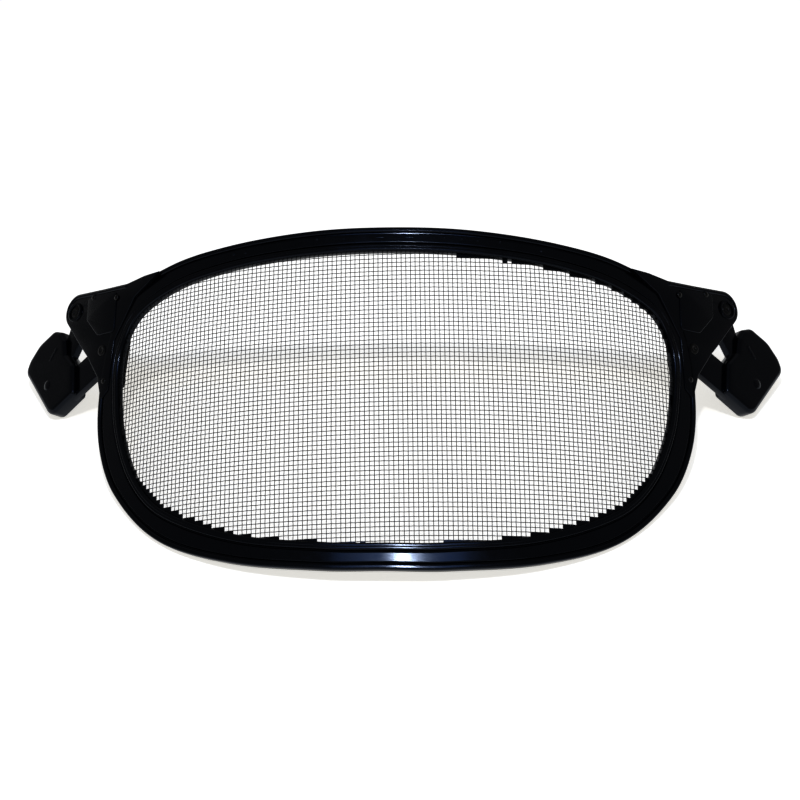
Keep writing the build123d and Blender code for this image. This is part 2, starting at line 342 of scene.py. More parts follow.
def pillow(name: str, loop: np.ndarray, front: float, back: float, edge: float, dome: float,
           back_edge: float = 0.8) -> bpy.types.Object:
    """Thick plate with broadly rounded front edges and a slightly crowned face.

    Args:
        name: name of the object.
        loop: outline as (s, v) points.
        front: height of the front face at its middle, in mm in front of the wires.
        back: height of the back face, in mm.
        edge: radius of the front edges, in mm.
        dome: how far the face rises from its edge to its middle, in mm.
        back_edge: radius of the back edges, in mm.

    Returns:
        The plate, laid on the right ear's plane.
    """
    middle = loop.mean(axis=0)
    normal = outward(loop)
    low = front - dome
    rings = [(loop * 0 + middle, back), (middle + (loop - middle) * 0.5, back)]
    for angle in (0, 30, 60, 90):
        inset = back_edge * (1 - math.sin(math.radians(angle)))
        rings.append((loop - normal * inset, back + back_edge * (1 - math.cos(math.radians(angle)))))
    for angle in range(0, 91, 15):
        inset = edge * (1 - math.cos(math.radians(angle)))
        rings.append((loop - normal * inset, low - edge + edge * math.sin(math.radians(angle))))
    shoulder = loop - normal * edge
    for share in (0.85, 0.65, 0.4, 0.2, 0.0):
        rings.append((middle + (shoulder - middle) * share, low + dome * (1 - share**2)))
    laid = [BEND.on_ear(ring[:, 0], ring[:, 1], height) for ring, height in rings]
    points, faces = skin(laid)
    return mesh_object(name, points, faces)


def turned(name: str, centre: Pair, profile: Sequence[Pair], count: int = 32) -> bpy.types.Object:
    """Round piece square to the right ear.

    Args:
        name: name of the object.
        centre: (s, v) of its axis.
        profile: (radius, out) in mm from one end of the axis to the other.
        count: points round the axis.

    Returns:
        The piece, laid in place.
    """
    angles = np.linspace(0, 2 * math.pi, count, endpoint=False)
    rings = []
    for radius, out in profile:
        s, v = centre[0] + radius * np.cos(angles), centre[1] + radius * np.sin(angles)
        rings.append(BEND.on_ear(s, v, out))
    points, faces = skin(rings)
    return mesh_object(name, points, faces)


def hollowed(item: bpy.types.Object, block: bpy.types.Object) -> bpy.types.Object:
    """Piece with a block cut out of it; the block is removed."""
    cut = item.modifiers.new("socket", "BOOLEAN")
    cut.operation, cut.object, cut.solver = "DIFFERENCE", block, "EXACT"
    depsgraph = bpy.context.evaluated_depsgraph_get()
    mesh = bpy.data.meshes.new_from_object(item.evaluated_get(depsgraph))
    name = item.name
    bpy.data.objects.remove(item)
    bpy.data.objects.remove(block)
    return dressed_object(name, mesh)


# ---------------------------------------------------------------- finishes


def linear(colour: str) -> tuple[float, float, float, float]:
    """Linear RGBA of an sRGB hex colour such as #1a2b3c."""
    parts = [int(colour[i:i + 2], 16) / 255 for i in (1, 3, 5)]
    return (*[p / 12.92 if p <= 0.04045 else ((p + 0.055) / 1.055)**2.4 for p in parts], 1.0)


def per_mm(size: float) -> float:
    """Texture scale, in features per metre, of a pattern whose features are size mm apart."""
    return 1 / (size * MM)


def add_node(tree: bpy.types.NodeTree, kind: str, links: dict[Any, Any] | None = None,
             values: dict[Any, Any] | None = None, **settings: Any) -> bpy.types.Node:
    """Adds a node to a tree.

    Args:
        tree: the node tree.
        kind: Blender's name of the node type.
        links: input name or number to the output socket that feeds it.
        values: input name or number to its value.
        settings: properties of the node itself.

    Returns:
        The node.
    """
    node = tree.nodes.new(kind)
    for key, value in settings.items():
        setattr(node, key, value)
    for key, value in (values or {}).items():
        node.inputs[key].default_value = value
    for key, socket in (links or {}).items():
        tree.links.new(socket, node.inputs[key])
    return node


@dataclass(frozen=True)
class Finish(ABC):
    """A surface finish and its procedural material."""

    name: str

    @abstractmethod
    def shade(self, tree: bpy.types.NodeTree, place: bpy.types.NodeSocket) -> bpy.types.Node:
        """Builds the surface shader from Object coordinates and returns its node."""

    def material(self) -> bpy.types.Material:
        """The material, made once and then reused."""
        found = bpy.data.materials.get(self.name)
        if found:
            return found
        made = bpy.data.materials.new(self.name)
        made.use_nodes = True
        tree = made.node_tree
        tree.nodes.clear()
        place = add_node(tree, "ShaderNodeTexCoord").outputs["Object"]
        shader = self.shade(tree, place)
        add_node(tree, "ShaderNodeOutputMaterial", {"Surface": shader.outputs[0]})
        return made

    def dress(self, item: bpy.types.Object) -> None:
        """Gives a piece this finish and no other."""
        item.data.materials.clear()
        item.data.materials.append(self.material())


@dataclass(frozen=True)
class MouldedNylon(Finish):
    """Black nylon, injection moulded in a polished tool: deep black, faint blue in its gloss,
    with a slight orange peel and handling scuffs that dull the gloss in patches."""

    name: str = "black nylon, injection moulded"
    colour: str = "#050507"
    scuffed: str = "#08080a"
    sheen_tint: str = "#d5e4ff"
    specular: float = 0.25
    roughness: tuple[float, float] = (0.13, 0.21)
    peel_mm: float = 1.6
    peel_height_mm: float = 0.006
    scuff_mm: float = 9.0

    def shade(self, tree: bpy.types.NodeTree, place: bpy.types.NodeSocket) -> bpy.types.Node:
        """Deep gloss broken by scuffs and by the tool's orange peel."""
        scuffs = add_node(tree, "ShaderNodeTexNoise", {"Vector": place},
                          {"Scale": per_mm(self.scuff_mm), "Detail": 6.0, "Roughness": 0.62})
        rough = add_node(tree, "ShaderNodeMapRange", {"Value": scuffs.outputs["Fac"]},
                         {"From Min": 0.35, "From Max": 0.7, "To Min": self.roughness[0],
                          "To Max": self.roughness[1]})
        tone = add_node(tree, "ShaderNodeMix", {"Factor": scuffs.outputs["Fac"]},
                        {6: linear(self.colour), 7: linear(self.scuffed)}, data_type="RGBA")
        peel = add_node(tree, "ShaderNodeTexNoise", {"Vector": place},
                        {"Scale": per_mm(self.peel_mm), "Detail": 2.0})
        bump = add_node(tree, "ShaderNodeBump", {"Height": peel.outputs["Fac"]},
                        {"Strength": 0.35, "Distance": self.peel_height_mm * MM})
        return add_node(tree, "ShaderNodeBsdfPrincipled",
                        {"Base Color": tone.outputs[2], "Roughness": rough.outputs["Result"],
                         "Normal": bump.outputs["Normal"]},
                        {"IOR": 1.53, "Specular IOR Level": self.specular,
                         "Specular Tint": linear(self.sheen_tint)})


@dataclass(frozen=True)
class DarkSteel(Finish):
    """Chemically blackened steel: near black, with a dull metal sheen where it is rubbed."""

    name: str = "blackened steel, drawn wire"
    colour: str = "#0a0a0a"
    rubbed: str = "#1c1b1a"
    metallic: float = 0.35
    roughness: tuple[float, float] = (0.4, 0.6)
    patch_mm: float = 3.0

    def shade(self, tree: bpy.types.NodeTree, place: bpy.types.NodeSocket) -> bpy.types.Node:
        """Dark oxide with lighter rubbed patches."""
        patches = add_node(tree, "ShaderNodeTexNoise", {"Vector": place},
                           {"Scale": per_mm(self.patch_mm), "Detail": 4.0, "Roughness": 0.6})
        amount = add_node(tree, "ShaderNodeMapRange", {"Value": patches.outputs["Fac"]},
                          {"From Min": 0.45, "From Max": 0.75})
        tone = add_node(tree, "ShaderNodeMix", {"Factor": amount.outputs["Result"]},
                        {6: linear(self.colour), 7: linear(self.rubbed)}, data_type="RGBA")
        rough = add_node(tree, "ShaderNodeMapRange", {"Value": patches.outputs["Fac"]},
                         {"To Min": self.roughness[1], "To Max": self.roughness[0]})
        return add_node(tree, "ShaderNodeBsdfPrincipled",
                        {"Base Color": tone.outputs[2], "Roughness": rough.outputs["Result"]},
                        {"Metallic": self.metallic})


@dataclass(frozen=True)
class ZincSteel(Finish):
    """Zinc-plated spring steel, stamped: cool grey with fine brushed streaks."""

    name: str = "zinc-plated steel, stamped"
    colour: str = "#9a9da1"
    streak: str = "#7c7f83"
    streak_mm: float = 0.8

    def shade(self, tree: bpy.types.NodeTree, place: bpy.types.NodeSocket) -> bpy.types.Node:
        """Plated metal with streaks along one way."""
        along = add_node(tree, "ShaderNodeMapping", {"Vector": place}, {"Scale": (1.0, 0.12, 1.0)})
        streaks = add_node(tree, "ShaderNodeTexNoise", {"Vector": along.outputs["Vector"]},
                           {"Scale": per_mm(self.streak_mm), "Detail": 3.0})
        tone = add_node(tree, "ShaderNodeMix", {"Factor": streaks.outputs["Fac"]},
                        {6: linear(self.colour), 7: linear(self.streak)}, data_type="RGBA")
        rough = add_node(tree, "ShaderNodeMapRange", {"Value": streaks.outputs["Fac"]},
                         {"To Min": 0.28, "To Max": 0.45})
        return add_node(tree, "ShaderNodeBsdfPrincipled",
                        {"Base Color": tone.outputs[2], "Roughness": rough.outputs["Result"]},
                        {"Metallic": 1.0})


@dataclass(frozen=True)
class LitFloor(Finish):
    """White acrylic table lit from below: matt and even, with its shadows thinned by the glow."""

    name: str = "white acrylic, satin, lit from below"
    colour: str = "#fdfbf6"
    mottle: str = "#f9f7f1"
    mottle_mm: float = 240.0
    glow: float = 0.66

    def shade(self, tree: bpy.types.NodeTree, place: bpy.types.NodeSocket) -> bpy.types.Node:
        """Matt white."""
        patches = add_node(tree, "ShaderNodeTexNoise", {"Vector": place}, {"Scale": per_mm(self.mottle_mm)})
        tone = add_node(tree, "ShaderNodeMix", {"Factor": patches.outputs["Fac"]},
                        {6: linear(self.colour), 7: linear(self.mottle)}, data_type="RGBA")
        return add_node(tree, "ShaderNodeBsdfPrincipled", {"Base Color": tone.outputs[2]},
                        {"Roughness": 0.9, "Emission Color": linear(self.colour),
                         "Emission Strength": self.glow})


NYLON = MouldedNylon()
WIRE = DarkSteel()
HARDWARE = DarkSteel(name="blackened steel, headed and pressed", colour="#08080a", rubbed="#151518",
                     metallic=0.5, roughness=(0.26, 0.4))
ZINC = ZincSteel()


# ---------------------------------------------------------------- repeated shapes


class NodeShape:
    """A Geometry Nodes tree with named inputs, run once on a plain mesh."""

    def __init__(self, name: str, inputs: dict[str, tuple[str, Any]]) -> None:
        """Starts the tree with its Geometry input and the named inputs.

        Args:
            name: name of the tree.
            inputs: input name to its socket type and value.
        """
        self.tree = bpy.data.node_groups.new(name, "GeometryNodeTree")
        self.tree.interface.new_socket("Geometry", in_out="INPUT", socket_type="NodeSocketGeometry")
        self.tree.interface.new_socket("Geometry", in_out="OUTPUT", socket_type="NodeSocketGeometry")
        self.values = {}
        for label, (kind, value) in inputs.items():
            made = self.tree.interface.new_socket(label, in_out="INPUT", socket_type=kind)
            self.values[made.identifier] = value
        self.start = add_node(self.tree, "NodeGroupInput")

    def finish(self, geometry: bpy.types.NodeSocket) -> None:
        """Ends the tree in Realize Instances and Set Material."""
        real = add_node(self.tree, "GeometryNodeRealizeInstances", {0: geometry})
        painted = add_node(self.tree, "GeometryNodeSetMaterial",
                           {"Geometry": real.outputs[0], "Material": self.start.outputs["Material"]})
        add_node(self.tree, "NodeGroupOutput", {0: painted.outputs[0]})

    def run(self, item: bpy.types.Object) -> bpy.types.Object:
        """Runs the tree on an object, which becomes the plain result."""
        modifier = item.modifiers.new("shape", "NODES")
        modifier.node_group = self.tree
        for identifier, value in self.values.items():
            modifier[identifier] = value
        depsgraph = bpy.context.evaluated_depsgraph_get()
        mesh = bpy.data.meshes.new_from_object(item.evaluated_get(depsgraph))
        item.modifiers.clear()
        item.data = mesh
        return item


def tube_shape(radius: float, sides: int, finish: Finish) -> NodeShape:
    """Tree that gives every line of a mesh a round wire.

    Args:
        radius: radius of the wire, in metres.
        sides: sides of its section.
        finish: its finish.
    """
    shape = NodeShape("round wire", {
        "Wire Radius": ("NodeSocketFloat", radius),
        "Wire Sides": ("NodeSocketInt", sides),
        "Material": ("NodeSocketMaterial", finish.material()),
    })
    tree, start = shape.tree, shape.start
    lines = add_node(tree, "GeometryNodeMeshToCurve", {"Mesh": start.outputs["Geometry"]})
    section = add_node(tree, "GeometryNodeCurvePrimitiveCircle",
                       {"Resolution": start.outputs["Wire Sides"], "Radius": start.outputs["Wire Radius"]})
    tube = add_node(tree, "GeometryNodeCurveToMesh",
                    {"Curve": lines.outputs[0], "Profile Curve": section.outputs[0]}, {"Fill Caps": True})
    smooth = add_node(tree, "GeometryNodeSetShadeSmooth", {0: tube.outputs[0]})
    shape.finish(smooth.outputs[0])
    return shape


def pip_shape(radius: float, height: float, turn: Vector, finish: Finish) -> NodeShape:
    """Tree that puts a low round pip on every point of a mesh.

    Args:
        radius: radius of a pip, in metres.
        height: how far it stands proud, in metres.
        turn: Euler turn that lays the pips on the surface.
        finish: their finish.
    """
    shape = NodeShape("moulded pips", {
        "Pip Radius": ("NodeSocketFloat", radius),
        "Pip Scale": ("NodeSocketVector", (1.0, 1.0, height / radius)),
        "Pip Turn": ("NodeSocketVector", tuple(turn)),
        "Material": ("NodeSocketMaterial", finish.material()),
    })
    tree, start = shape.tree, shape.start
    ball = add_node(tree, "GeometryNodeMeshUVSphere", {"Radius": start.outputs["Pip Radius"]},
                    {"Segments": 14, "Rings": 8})
    spread = add_node(tree, "GeometryNodeInstanceOnPoints",
                      {"Points": start.outputs["Geometry"], "Instance": ball.outputs["Mesh"],
                       "Rotation": start.outputs["Pip Turn"], "Scale": start.outputs["Pip Scale"]})
    real = add_node(tree, "GeometryNodeRealizeInstances", {0: spread.outputs[0]})
    smooth = add_node(tree, "GeometryNodeSetShadeSmooth", {0: real.outputs[0]})
    shape.finish(smooth.outputs[0])
    return shape


# ---------------------------------------------------------------- rim


class Anchor(Enum):
    """Edge of the rim that a point of its section is measured from."""

    OUTER = "outer"
    INNER = "inner"


@dataclass
class Rim:
    """The moulded rim: its section follows the outline all the way round."""

    outer_half: list[Pair] = field(default_factory=lambda: [
        (0, 81.7), (34, 81.1), (75, 77.7), (105, 73.3), (128, 64.5), (141, 44), (144.8, 14),
        (141.3, -9), (129, -32), (102, -56.5), (67, -69), (27, -73.7), (0, -74)])
    inner_half: list[Pair] = field(default_factory=lambda: [
        (0, 70.2), (48, 68.6), (89, 63.9), (109, 58.8), (124.5, 50.3), (131.6, 36), (131.8, 18),
        (127.4, -4), (115.8, -27.3), (99, -43), (64, -56.8), (24, -61.8), (0, -62.2)])
    section: list[tuple[Anchor, float, float]] = field(default_factory=lambda: [
        (Anchor.OUTER, 0.5, -1.8), (Anchor.OUTER, 0.1, -1.6), (Anchor.OUTER, 0.0, -1.2),
        (Anchor.OUTER, 0.0, 0.9), (Anchor.OUTER, 0.12, 1.6), (Anchor.OUTER, 0.35, 2.0),
        (Anchor.OUTER, 0.65, 2.17), (Anchor.OUTER, 0.85, 2.2), (Anchor.OUTER, 1.0, 2.2),
        (Anchor.OUTER, 1.65, 2.2), (Anchor.OUTER, 1.8, 2.2),
        (Anchor.OUTER, 2.0, 2.15), (Anchor.OUTER, 2.3, 1.9), (Anchor.OUTER, 2.45, 1.3),
        (Anchor.OUTER, 2.6, 0.9), (Anchor.OUTER, 2.9, 0.85), (Anchor.OUTER, 3.1, 1.1),
        (Anchor.OUTER, 3.3, 1.45), (Anchor.OUTER, 3.55, 1.55), (Anchor.OUTER, 3.8, 1.55),
        (Anchor.INNER, 4.65, 1.55), (Anchor.INNER, 4.4, 1.55), (Anchor.INNER, 4.2, 1.45),
        (Anchor.INNER, 4.0, 1.1), (Anchor.INNER, 3.8, 0.85), (Anchor.INNER, 3.5, 0.9),
        (Anchor.INNER, 3.4, 1.5), (Anchor.INNER, 3.25, 1.95), (Anchor.INNER, 3.0, 2.15),
        (Anchor.INNER, 2.8, 2.2), (Anchor.INNER, 2.65, 2.2), (Anchor.INNER, 2.3, 2.2),
        (Anchor.INNER, 2.15, 2.2), (Anchor.INNER, 1.95, 2.1), (Anchor.INNER, 1.75, 2.2),
        (Anchor.INNER, 1.6, 2.2), (Anchor.INNER, 1.1, 2.2), (Anchor.INNER, 0.95, 2.2),
        (Anchor.INNER, 0.75, 2.15),
        (Anchor.INNER, 0.4, 1.85), (Anchor.INNER, 0.1, 1.3), (Anchor.INNER, 0.0, 0.6),
        (Anchor.INNER, 0.0, -1.2), (Anchor.INNER, 0.1, -1.6), (Anchor.INNER, 0.5, -1.8)])
    samples: int = 480
    pips: list[Pair] = field(default_factory=lambda: [
        (-33, 77.0), (-21, 76.5), (1.8, 76.4), (23.3, 77.0), (31, 76.6), (38, 76.2), (48, 76.1),
        (-66, 73.3), (-71.5, 73.2), (66.5, 73.3)])
    pip_radius: float = 0.75
    pip_height: float = 0.35
    dashes: list[Pair] = field(default_factory=lambda: [(-5, 76.8), (8, 76.8)])
    dash_half: Pair = (1.9, 0.5)
    dash_corner: float = 0.45
    channel_floor: float = 1.5

    def outer(self) -> np.ndarray:
        """Outer outline of the rim."""
        return smooth_loop(both_sides(self.outer_half), self.samples)

    def inner(self) -> np.ndarray:
        """Edge of the plastic round the screen."""
        return smooth_loop(both_sides(self.inner_half), self.samples)

    def ring(self) -> bpy.types.Object:
        """The rim itself, without its ears."""
        loop, inner = self.outer(), self.inner()
        normal = outward(loop)
        width = self.widths(loop, normal, inner)
        rings = []
        for anchor, distance, out in self.section:
            inset = distance if anchor is Anchor.OUTER else width - distance
            points = loop - normal * np.broadcast_to(inset, (len(loop),))[:, None]
            rings.append(BEND.on_sheet(points[:, 0], points[:, 1], out))
        points, faces = skin(rings, closed_section=True)
        return mesh_object("rim_ring", points, faces)

    @staticmethod
    def widths(loop: np.ndarray, normal: np.ndarray, inner: np.ndarray) -> np.ndarray:
        """Distance from each outer point, square to the outline, to the inner edge."""
        ends = np.roll(inner, -1, axis=0)
        found = []
        for point, direction in zip(loop, -normal):
            edge = ends - inner
            cross = direction[0] * edge[:, 1] - direction[1] * edge[:, 0]
            gap = inner - point
            with np.errstate(divide="ignore", invalid="ignore"):
                along = (gap[:, 0] * edge[:, 1] - gap[:, 1] * edge[:, 0]) / cross
                share = (gap[:, 0] * direction[1] - gap[:, 1] * direction[0]) / cross
            hits = along[(share >= 0) & (share <= 1) & (along > 0)]
            found.append(hits.min())
        width = np.array(found)
        for _ in range(6):
            width = (np.roll(width, 1) + 2 * width + np.roll(width, -1)) / 4
        return width

    def moulded_pips(self) -> bpy.types.Object:
        """Small round pips along the channel over the screen."""
        spots = np.array(self.pips)
        mesh = bpy.data.meshes.new("rim_pips")
        mesh.from_pydata([tuple(p) for p in BEND.on_sheet(spots[:, 0], spots[:, 1], self.channel_floor)],
                         [], [])
        item = bpy.data.objects.new("rim_pips", mesh)
        bpy.context.scene.collection.objects.link(item)
        turn = Vector((math.radians(BEND.rest_tilt), 0, 0))
        return pip_shape(self.pip_radius * MM, self.pip_height * MM, turn, NYLON).run(item)

    def moulded_dashes(self) -> list[bpy.types.Object]:
        """Two short raised bars in the middle of the channel."""
        bars = []
        long, high = self.dash_half
        for number, (s, v) in enumerate(self.dashes):
            loop = rounded([(s + x * long, v + y * high, self.dash_corner)
                            for x, y in ((-1, -1), (1, -1), (1, 1), (-1, 1))])
            bars.append(slab(f"rim_dash_{number}", [loop], 1.95, 0.6, 0.15, BEND.on_sheet))
        return bars


# ---------------------------------------------------------------- screen


@dataclass
class Screen:
    """The woven wire screen, with the thin web of plastic that grips its edge."""

    rim: Rim
    pitch: float = 2.04
    wire: float = 0.34
    turn: float = 1.6
    start: Pair = (2.26, -0.1)
    grip: float = 2.4
    bulge: float = 1.5
    bulge_reach: Pair = (136.0, 72.0)
    sides: int = 5
    cloth_half: tuple[int, int] = (68, 44)
    web_half: tuple[int, int] = (66, 37)
    web_front: float = 0.45
    web_back: float = -0.45
    web_base: float = -0.6
    web_extra: dict[str, float] = field(default_factory=lambda: {
        "upper": -0.5, "low": 1.3, "corner": 1.0, "high": 2.0})

    def flat(self, u: np.ndarray, w: np.ndarray) -> tuple[np.ndarray, np.ndarray]:
        """(s, v) of a point given along the cloth's own warp and weft, in mm."""
        c, s = math.cos(math.radians(self.turn)), math.sin(math.radians(self.turn))
        return self.start[0] + u * c - w * s, self.start[1] + u * s + w * c

    def lift(self, s: np.ndarray, v: np.ndarray) -> np.ndarray:
        """How far the screen bulges in front of the sheet, in mm."""
        return self.bulge * (1 - (s / self.bulge_reach[0])**2) * (1 - (v / self.bulge_reach[1])**2)

    def lines(self, upright: bool) -> tuple[np.ndarray, list[tuple[int, int]]]:
        """Centre lines of the wires that run one way.

        Args:
            upright: whether these are the upright wires.

        Returns:
            Points on the table frame, in metres, and the edges between them.
        """
        loop = self.rim.inner() + outward(self.rim.inner()) * self.grip
        wide, tall = self.cloth_half
        across, along = (wide, 2 * tall) if upright else (tall, 2 * wide)
        points, edges = [], []
        for wire in range(-across, across + 1):
            step = np.arange(-along, along + 1)
            travel = step * self.pitch / 2
            fixed = np.full(len(step), wire * self.pitch)
            s, v = self.flat(fixed, travel) if upright else self.flat(travel, fixed)
            keep = inside(loop, np.column_stack([s, v]))
            if keep.sum() < 3:
                continue
            s, v, step = s[keep], v[keep], step[keep]
            wave = np.cos(math.pi * (step / 2 + wire)) * self.wire / 2
            out = self.lift(s, v) + (wave if upright else -wave)
            base = len(points)
            points.extend(BEND.on_sheet(s, v, out))
            edges.extend((base + k, base + k + 1) for k in range(len(s) - 1))
        return np.array(points), edges

    def wires(self, name: str, upright: bool) -> bpy.types.Object:
        """All the wires that run one way, as round wires."""
        points, edges = self.lines(upright)
        mesh = bpy.data.meshes.new(name)
        mesh.from_pydata([tuple(p) for p in points], edges, [])
        item = bpy.data.objects.new(name, mesh)
        bpy.context.scene.collection.objects.link(item)
        return tube_shape(self.wire / 2 * MM, self.sides, WIRE).run(item)

    def web_reach(self, s: np.ndarray, v: np.ndarray) -> np.ndarray:
        """How far inside the rim's edge the plastic ran into the cloth, in mm."""
        upper, lower = np.clip(v / 50, 0, 1), np.clip(-v / 50, 0, 1)
        share = {
            "upper": upper,
            "low": lower * np.clip(np.abs(s) / 25 - 0.4, 0, 1),
            "corner": np.clip((np.abs(s) - 55) / 45, 0, 1) * np.clip(-(v + 12) / 25, 0, 1),
            "high": upper * np.clip((s - 26) / 4, 0, 1),
        }
        return self.web_base + sum(self.web_extra[part] * share[part] for part in share)

    def web(self) -> bpy.types.Object:
        """Thin plastic that fills whole cells of the cloth along the rim's edge."""
        loop = self.rim.inner()
        half = self.pitch / 2
        wide, tall = self.web_half
        columns, rows = np.meshgrid(np.arange(-wide, wide), np.arange(1 - tall, 1 + tall))
        cells = np.column_stack([columns.ravel(), rows.ravel()])
        s, v = self.flat((cells[:, 0] + 0.5) * self.pitch, (cells[:, 1] + 0.5) * self.pitch)
        depth = depth_in(loop, np.column_stack([s, v]))
        filled = {tuple(cell) for cell in cells[(depth < self.web_reach(s, v)) & (depth > -half * 1.5)]}
        points, faces, index = [], [], {}

        def corner(i: int, j: int, out: float) -> int:
            key = (i, j, out)
            if key not in index:
                cs, cv = self.flat(np.array(i * self.pitch), np.array(j * self.pitch))
                index[key] = len(points)
                points.append(BEND.on_sheet(cs, cv, self.lift(cs, cv) + out))
            return index[key]

        for i, j in sorted(filled):
            ring = [(i, j), (i + 1, j), (i + 1, j + 1), (i, j + 1)]
            faces.append([corner(*c, self.web_front) for c in ring])
            faces.append([corner(*c, self.web_back) for c in reversed(ring)])
            for k, beyond in enumerate([(i, j - 1), (i + 1, j), (i, j + 1), (i - 1, j)]):
                if beyond not in filled:
                    a, b = ring[k], ring[(k + 1) % 4]
                    faces.append([corner(*a, self.web_front), corner(*a, self.web_back),
                                  corner(*b, self.web_back), corner(*b, self.web_front)])
        return mesh_object("screen_web", np.array(points), faces)


# ---------------------------------------------------------------- ears, clips and hardware


@dataclass
class Ear:
    """One ear of the rim: plate, raised land, edge bead, pivot boss and columns."""

    end: Pair = (166.2, 66.1)
    end_radius: float = 8.3
    top_angle: float = 96.7
    low_angle: float = -38.8
    root: list[tuple[float, float, float]] = field(default_factory=lambda: [
        (161.3, 46.8, 0), (155.9, 40.6, 4), (147, 28, 6), (143.2, 16, 0), (138.5, 20, 0),
        (136.6, 44, 2), (124, 62.5, 4), (108, 70.5, 0), (118, 71.0, 5), (130, 70.3, 12),
        (146, 72.0, 20)])
    land: list[tuple[float, float, float]] = field(default_factory=lambda: [
        (136.5, 47.9, 2), (148.5, 48.9, 3), (157.5, 59.0, 2), (157.5, 70.9, 2), (136.5, 68.2, 3)])
    front: float = 2.2
    back: float = -1.8
    bead_start: Pair = (128, 70.3)
    bead_last: int = 21
    bead_foot: float = 1.6
    bead_section: list[Pair] = field(default_factory=lambda: [
        (0.35, 1.6), (0.45, 2.2), (0.9, 2.65), (1.5, 2.8), (2.1, 2.65), (2.5, 2.2), (2.6, 1.6)])
    bead_taper: float = 8.0
    pivot: Pair = (167.0, 65.5)
    stop: Pair = (144.5, 40.5)
    rivets: list[Pair] = field(default_factory=lambda: [(153.4, 69.4), (136.4, 64.8), (141.9, 25.0)])

    def outline(self) -> np.ndarray:
        """Outline of the ear, clockwise from its round end."""
        angles = np.radians(np.linspace(self.top_angle, self.low_angle, 26))
        end = np.stack([self.end[0] + self.end_radius * np.cos(angles),
                        self.end[1] + self.end_radius * np.sin(angles)], axis=1)
        corners = [(*end[-1], 0.0), *self.root, (*end[0], 0.0)]
        return np.vstack([end, rounded(corners)[1:-1]])

    def build(self) -> bpy.types.Object:
        """The right ear as one mesh."""
        pieces = [
            slab("ear_plate", [self.outline(), circle(self.pivot, 2.1, 28)], self.front, self.back, 0.45),
            slab("ear_land", [rounded(self.land)], self.front + 0.6, self.front - 0.6, 0.35),
            turned("ear_boss", self.pivot, [(2.1, 1.4), (3.4, 1.4), (3.45, 2.6), (3.7, 3.0), (4.1, 3.1),
                                            (4.6, 2.9), (4.8, 2.4), (4.9, 1.0), (2.1, 1.0), (2.1, 1.4)], 40),
        ]
        for number, spot in enumerate(self.rivets):
            pieces.append(turned(f"ear_column_{number}", spot, [
                (0.0, -0.5), (2.9, -0.5), (2.9, -1.8), (2.5, -2.4), (2.4, -5.6), (2.1, -6.15),
                (0.0, -6.2)], 24))
        pieces.append(self.bead())
        return joined("right_ear", pieces)

    def bead(self) -> bpy.types.Object:
        """Half-round bead along the top edge and round end of the ear."""
        loop = self.outline()
        start = np.argmin(np.linalg.norm(loop - np.array(self.bead_start), axis=1))
        path = np.vstack([loop[start:], loop[:self.bead_last]])
        run = np.gradient(path, axis=0)
        run /= np.linalg.norm(run, axis=1)[:, None]
        normal = np.stack([-run[:, 1], run[:, 0]], axis=1)
        rings = []
        section, foot = self.bead_section, self.bead_foot
        rise = np.clip(np.linspace(0, self.bead_taper, len(path)), 0, 1)
        for point, side, share in zip(path, normal, rise):
            ring = np.array([point - side * inset for inset, _ in section])
            crest = np.array([foot + (out - foot) * share for _, out in section])
            rings.append(BEND.on_ear(ring[:, 0], ring[:, 1], crest))
        points, faces = skin(rings)
        ends = [tuple(range(len(section))), tuple(len(points) - 1 - k for k in range(len(section)))]
        return mesh_object("ear_bead", points, faces + ends)


